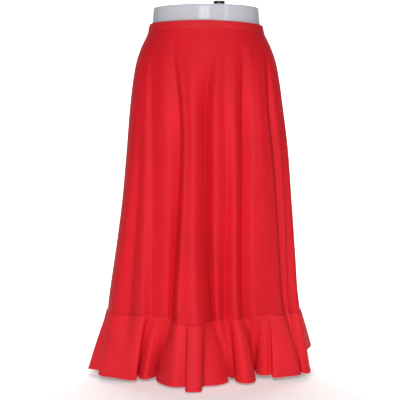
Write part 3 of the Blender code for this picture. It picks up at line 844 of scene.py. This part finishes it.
def hard_material(name, colour, roughness, metallic, noise_scale, change, specular):
    """A hard surface with a slightly uneven finish."""
    material, tree, shader = new_material(name, colour, roughness)
    shader.inputs["Metallic"].default_value = metallic
    shader.inputs["Specular IOR Level"].default_value = specular
    coordinates = tree.nodes.new("ShaderNodeTexCoord")
    uneven = noise_node(tree, coordinates.outputs["Object"], noise_scale, detail=4.0)
    darker = tuple((1.0 - change) * c for c in colour)
    lighter = tuple(min(1.0, (1.0 + change) * c) for c in colour)
    tree.links.new(ramp_node(tree, uneven, darker, lighter), shader.inputs["Base Color"])
    spread = tree.nodes.new("ShaderNodeMapRange")
    spread.inputs["To Min"].default_value = roughness * ROUGHNESS_SPREAD[0]
    spread.inputs["To Max"].default_value = roughness * ROUGHNESS_SPREAD[1]
    tree.links.new(uneven, spread.inputs["Value"])
    tree.links.new(spread.outputs["Result"], shader.inputs["Roughness"])
    return material


cloth = cloth_material("red_cloth", CLOTH_COLOUR, WEAVE_PITCH, WEAVE_BUMP)
# The ruffle gets a lighter copy of the same cloth: painted light where the flared ruffle faces up towards
# the light
lighter_painted_ruffle_cloth = cloth_material("red_ruffle_cloth_painted_lighter", RUFFLE_COLOUR_PAINTED_LIGHTER, WEAVE_PITCH, WEAVE_BUMP)
band_cloth = cloth_material("red_band_cloth", BAND_COLOUR, WEAVE_PITCH, WEAVE_BUMP)
thread, thread_tree, thread_shader = new_material("red_thread", THREAD_COLOUR, THREAD_ROUGHNESS)
twist_noise = noise_node(
    thread_tree, thread_tree.nodes.new("ShaderNodeTexCoord").outputs["Object"], TWIST_SCALE
)
thread_tree.links.new(
    ramp_node(thread_tree, twist_noise, tuple(TWIST_DARKER * c for c in THREAD_COLOUR), THREAD_COLOUR),
    thread_shader.inputs["Base Color"],
)
form_skin = hard_material(*FORM_SKIN)
dark_plastic = hard_material(*DARK_PLASTIC)
steel = hard_material(*BRUSHED_STEEL)
snap_metal = hard_material(*DARK_RED_SNAP)


def add_panel(name, first, last, node, low_seam, high_seam, free_edge=0.0):
    """One body panel: its shell, with the seam allowances' soft grooves along its sewn sides."""
    grid = panel_grid(first, last)
    length = arc_lengths(grid, 1)
    groove = np.zeros(grid.shape[:2])
    if low_seam:
        groove -= SEAM_GROOVE * np.exp(-((length / SEAM_GROOVE_WIDTH) ** 2))
    if high_seam:
        groove -= SEAM_GROOVE * np.exp(-(((length[:, -1:] - length) / SEAM_GROOVE_WIDTH) ** 2))
    else:
        groove -= EDGE_TUCK * np.exp(-(((length[:, -1:] - length) / EDGE_TUCK_WIDTH) ** 2)) * free_edge
    above_seam = arc_lengths(grid, 0)[-1:] - arc_lengths(grid, 0)
    groove -= SEAM_PINCH * np.exp(-above_seam / SEAM_PINCH_REACH)
    sewn_columns = [column for column, sewn in ((0, low_seam), (-1, high_seam)) if sewn]
    grid = grid + outward_normals(grid, sewn_columns) * groove[..., None]
    obj = cloth_shell(name, grid, CLOTH_THICKNESS, cloth)
    give_weave_map(obj, grid)
    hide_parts(node)
    return obj, grid


def add_ruffle(name, first, last, node, seed, sewn_columns):
    """One ruffle: its shell, gathered at its seam, with its hem turned."""
    grid, angles = ruffle_grid(first, last)
    grid = turned_hem(pucker(grid, angles, seed, sewn_columns))
    obj = cloth_shell(name, grid, CLOTH_THICKNESS, lighter_painted_ruffle_cloth)
    give_weave_map(obj, grid)
    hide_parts(node)
    return obj, grid


def band_section():
    """The band's section: outward and height from its lower edge, from the top outside to the top inside."""
    high, thick, round_ = BAND_TOP_Z - BAND_BOTTOM_Z, BAND_THICKNESS, BAND_EDGE_RADIUS
    outer = [(-round_, high)]
    for degrees in BAND_TOP_EDGE_DEGREES:
        turn = math.radians(degrees)
        outer.append((-round_ + round_ * math.sin(turn), high - round_ + round_ * math.cos(turn)))
    for share in BAND_FACE_SHARES:
        outer.append((BAND_CROWN * math.sin(math.pi * share), high * share))
    for degrees in BAND_BOTTOM_EDGE_DEGREES:
        turn = math.radians(degrees)
        outer.append((-round_ + round_ * math.sin(turn), round_ - round_ * math.cos(turn)))
    inner_edge = -thick + BAND_INNER_EDGE_SHARE * round_
    inner = [(inner_edge, 0.0), (-thick, 0.5 * round_), (-thick, 0.5 * high)]
    inner += [(-thick, high - 0.5 * round_), (inner_edge, high)]
    return outer + inner


def add_band():
    """The waistband, a folded strip with soft edges, from its hidden end round to its free end on top."""
    angles = np.linspace(BAND_UNDER_END_DEGREES, BAND_OVER_END_DEGREES, BAND_COLUMNS + 1)
    rng = np.random.default_rng(BAND_RIPPLE_SEED)
    ripple = np.zeros(len(angles))
    for waves in BAND_RIPPLE_WAVES:
        strength = rng.uniform(*BAND_RIPPLE_STRENGTHS)
        shift = rng.uniform(*BAND_RIPPLE_SHIFTS)
        ripple += strength * np.sin(np.radians(angles) * waves + shift) / waves
    ripple *= BAND_RIPPLE / np.abs(ripple).max()
    inset = BAND_LAYER_INSET * (1.0 - smooth_step(angles, INSET_KEEPS_TO_DEGREES, INSET_ENDS_DEGREES))
    section = band_section()
    rings = []
    for out, height in section:
        share = math.sin(math.pi * min(max(height / (BAND_TOP_Z - BAND_BOTTOM_Z), 0.0), 1.0))
        z = BAND_BOTTOM_Z + height + waist_drop(angles)
        rings.append(ring_points(angles, z, BAND_PROUD + out - inset + ripple * share))
    grid = np.array(rings)
    count, columns = grid.shape[:2]
    numbers = np.arange(count * columns).reshape(count, columns)
    following = np.roll(numbers, -1, axis=0)
    corners = [numbers[:, :-1], following[:, :-1], following[:, 1:], numbers[:, 1:]]
    faces = np.stack(corners, -1).reshape(-1, 4).tolist()
    faces.append(tuple(int(i) for i in numbers[::-1, 0]))
    faces.append(tuple(int(i) for i in numbers[:, -1]))
    obj = new_mesh("band_cloth", grid.reshape(-1, 3), faces, band_cloth)
    mesh = obj.data
    layer = mesh.uv_layers.new(name="weave")
    corner = np.empty(len(mesh.loops), dtype=np.int32)
    mesh.loops.foreach_get("vertex_index", corner)
    across = np.broadcast_to(arc_lengths(grid, 1)[BAND_MAP_ROW][None, :], (count, columns))
    flat = np.stack([across, arc_lengths(grid, 0)], -1).reshape(-1, 2)
    layer.data.foreach_set("uv", flat[corner].astype(np.float32).ravel())
    obj.data.set_sharp_from_angle(angle=math.radians(BAND_SHARP_DEGREES))
    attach(obj, "root")
    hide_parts("waistband")
    return obj, grid


def add_form():
    """The limbless hip form's smooth skin, closed above and below."""
    heights = [row[0] for row in FORM_SECTIONS]
    levels = heights[0] + (heights[-1] - heights[0]) * np.linspace(0.0, 1.0, FORM_ROWS)
    turns = np.radians(np.arange(FORM_SIDES) * 360.0 / FORM_SIDES)
    rings = []
    for z in levels:
        wide, front, back = [
            float(smooth_curve(heights, [row[i] for row in FORM_SECTIONS], z)) for i in (1, 2, 3)
        ]
        rings.append(form_ring(turns, wide, front, back, z))
    wide, front, back = FORM_SECTIONS[-1][1:4]
    for share, rise in FORM_CAP:
        z = heights[-1] + (FORM_TOP_Z - heights[-1]) * rise
        rings.append(form_ring(turns, wide * share, front * share, back * share, z))
    points = np.concatenate(rings)
    faces = [tuple(reversed(range(FORM_SIDES)))]
    for level in range(len(rings) - 1):
        for k in range(FORM_SIDES):
            here, there = level * FORM_SIDES + k, level * FORM_SIDES + (k + 1) % FORM_SIDES
            faces.append((here, there, there + FORM_SIDES, here + FORM_SIDES))
    faces.append(tuple(range((len(rings) - 1) * FORM_SIDES, len(rings) * FORM_SIDES)))
    obj = new_mesh("form_body", points, faces, form_skin)
    obj.data.set_sharp_from_angle(angle=math.radians(FORM_SHARP_DEGREES))
    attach(obj, "root")
    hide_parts("hip_form")
    return obj


def form_ring(turns, wide, front, back, z):
    """A level ring of the form, with its own depth in front and behind."""
    depth = np.where(np.sin(turns) < 0, front, back)
    return np.stack([wide * np.cos(turns), depth * np.sin(turns), 0.0 * turns + z], -1)


form = add_form()
band, band_shape = add_band()
over_panel, over_grid = add_panel(
    "front_over_cloth",
    "left side",
    "wrap crease, over",
    "front_over_panel",
    low_seam=True,
    high_seam=False,
    free_edge=1.0,
)
under_panel, under_grid = add_panel(
    "front_under_cloth",
    "under edge",
    "right side",
    "front_under_panel",
    low_seam=False,
    high_seam=True,
)
back_panel, back_grid = add_panel(
    "back_cloth", "right side", "left side", "back_panel", low_seam=True, high_seam=True
)
over_ruffle, over_hem = add_ruffle(
    "over_ruffle_cloth", "left side", "wrap edge", "over_ruffle", OVER_RUFFLE_SEED, (0,)
)
under_ruffle, under_hem = add_ruffle(
    "under_ruffle_cloth", "under edge", "right side", "under_ruffle", UNDER_RUFFLE_SEED, (-1,)
)
back_ruffle, back_hem = add_ruffle(
    "back_ruffle_cloth", "right side", "left side", "back_ruffle", BACK_RUFFLE_SEED, (0, -1)
)

hem_runs = [point_below(grid, HEM_STITCHES_FROM_EDGE) for grid in (over_hem, under_hem, back_hem)]
hem_stitches = add_stitches("hem_stitches", hem_runs, thread)
seam_runs = [point_below(grid, SEAM_STITCHES_FROM_EDGE) for grid in (over_grid, under_grid, back_grid)]
add_stitches("ruffle_seam_stitches", seam_runs, thread)
edge_runs = [point_beside(grid, WRAP_STITCHES_FROM_EDGE) for grid in (over_grid, over_hem)]
edge_stitches = add_stitches("wrap_edge_stitches", edge_runs, thread)
band_normals = -normals_of(band_shape)
band_runs = [(band_shape[row], band_normals[row]) for row in BAND_STITCH_ROWS]
band_stitches = add_stitches("band_stitches", band_runs, thread)

stand_pole = add_lathe(
    "pole_rod",
    POLE_PROFILE,
    (0.0, POLE_CENTRE_Y, 0.0),
    UPRIGHT_AXES,
    POLE_SIDES,
    steel,
)
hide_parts("stand_pole")
stand_base = add_lathe(
    "base_plate",
    BASE_PROFILE,
    (0.0, BASE_CENTRE_Y, 0.0),
    UPRIGHT_AXES,
    BASE_SIDES,
    steel,
)
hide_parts("stand_base")
fitting = add_lathe(
    "fitting_knob",
    FITTING_PROFILE,
    (FITTING_X, 0.0, 0.0),
    UPRIGHT_AXES,
    FITTING_SIDES,
    dark_plastic,
)
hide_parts("form_fitting")

snap_angle = np.array([SNAP_DEGREES, SNAP_DEGREES + SNAP_PROBE_DEGREES, SNAP_DEGREES])
snap_z = np.array([SNAP_Z, SNAP_Z, SNAP_Z + SNAP_PROBE_RISE])
seat, beside, above = ring_points(snap_angle, snap_z, BAND_PROUD + BAND_CROWN + SNAP_GAP)
snap_across = (beside - seat) / np.linalg.norm(beside - seat)
snap_out = np.cross(snap_across, above - seat)
snap_out /= np.linalg.norm(snap_out)
snap = add_lathe(
    "snap_button",
    SNAP_PROFILE,
    seat,
    (snap_across, np.cross(snap_out, snap_across), snap_out),
    SNAP_SIDES,
    snap_metal,
)
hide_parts("band_snap")


def add_backdrop():
    """A pale floor that turns up into a plain wall behind the object."""
    bend_y = WALL_Y - WALL_BEND_RADIUS
    profile = [(FLOOR_FRONT_Y, FLOOR_Z), (bend_y, FLOOR_Z)]
    for degrees in range(WALL_BEND_STEP_DEGREES, 91, WALL_BEND_STEP_DEGREES):
        turn = math.radians(degrees)
        rise = WALL_BEND_RADIUS * (1 - math.cos(turn))
        profile.append((bend_y + WALL_BEND_RADIUS * math.sin(turn), FLOOR_Z + rise))
    profile.append((WALL_Y, WALL_TOP_Z))
    points = [(x, y, z) for y, z in profile for x in (-BACKDROP_HALF_WIDTH, BACKDROP_HALF_WIDTH)]
    faces = [(2 * k, 2 * k + 1, 2 * k + 3, 2 * k + 2) for k in range(len(profile) - 1)]
    material, _, shader = new_material("pale_backdrop", BACKDROP_WHITE, BACKDROP_ROUGHNESS)
    shader.inputs["Emission Color"].default_value = (1.0, 1.0, 1.0, 1.0)
    shader.inputs["Emission Strength"].default_value = BACKDROP_GLOW
    backdrop = new_mesh("backdrop", points, faces, material)


def add_light(name, place, aim, width, height, watts):
    light = bpy.data.lights.new(name, "AREA")
    light.shape = "RECTANGLE"
    light.size, light.size_y = width, height
    light.energy = watts
    obj = bpy.data.objects.new(name, light)
    bpy.context.scene.collection.objects.link(obj)
    obj.location = place
    obj.rotation_euler = (Vector(aim) - Vector(place)).to_track_quat("-Z", "Y").to_euler()
    return obj


add_backdrop()
for light_row in LIGHTS:
    add_light(*light_row)

world = bpy.data.worlds.new("studio")
world.use_nodes = True
world.node_tree.nodes["Background"].inputs["Color"].default_value = (1.0, 1.0, 1.0, 1.0)
world.node_tree.nodes["Background"].inputs["Strength"].default_value = WORLD_STRENGTH
bpy.context.scene.world = world
bpy.context.scene.view_settings.view_transform = "Standard"

camera_data = bpy.data.cameras.new("camera")
camera_data.lens = CAMERA_LENS
camera_data.sensor_width = CAMERA_SENSOR_WIDTH
camera = bpy.data.objects.new("camera", camera_data)
camera.location = CAMERA_PLACE
camera.rotation_euler = (math.radians(90.0 - CAMERA_PITCH_DEGREES), 0.0, 0.0)
bpy.context.scene.collection.objects.link(camera)
bpy.context.scene.camera = camera
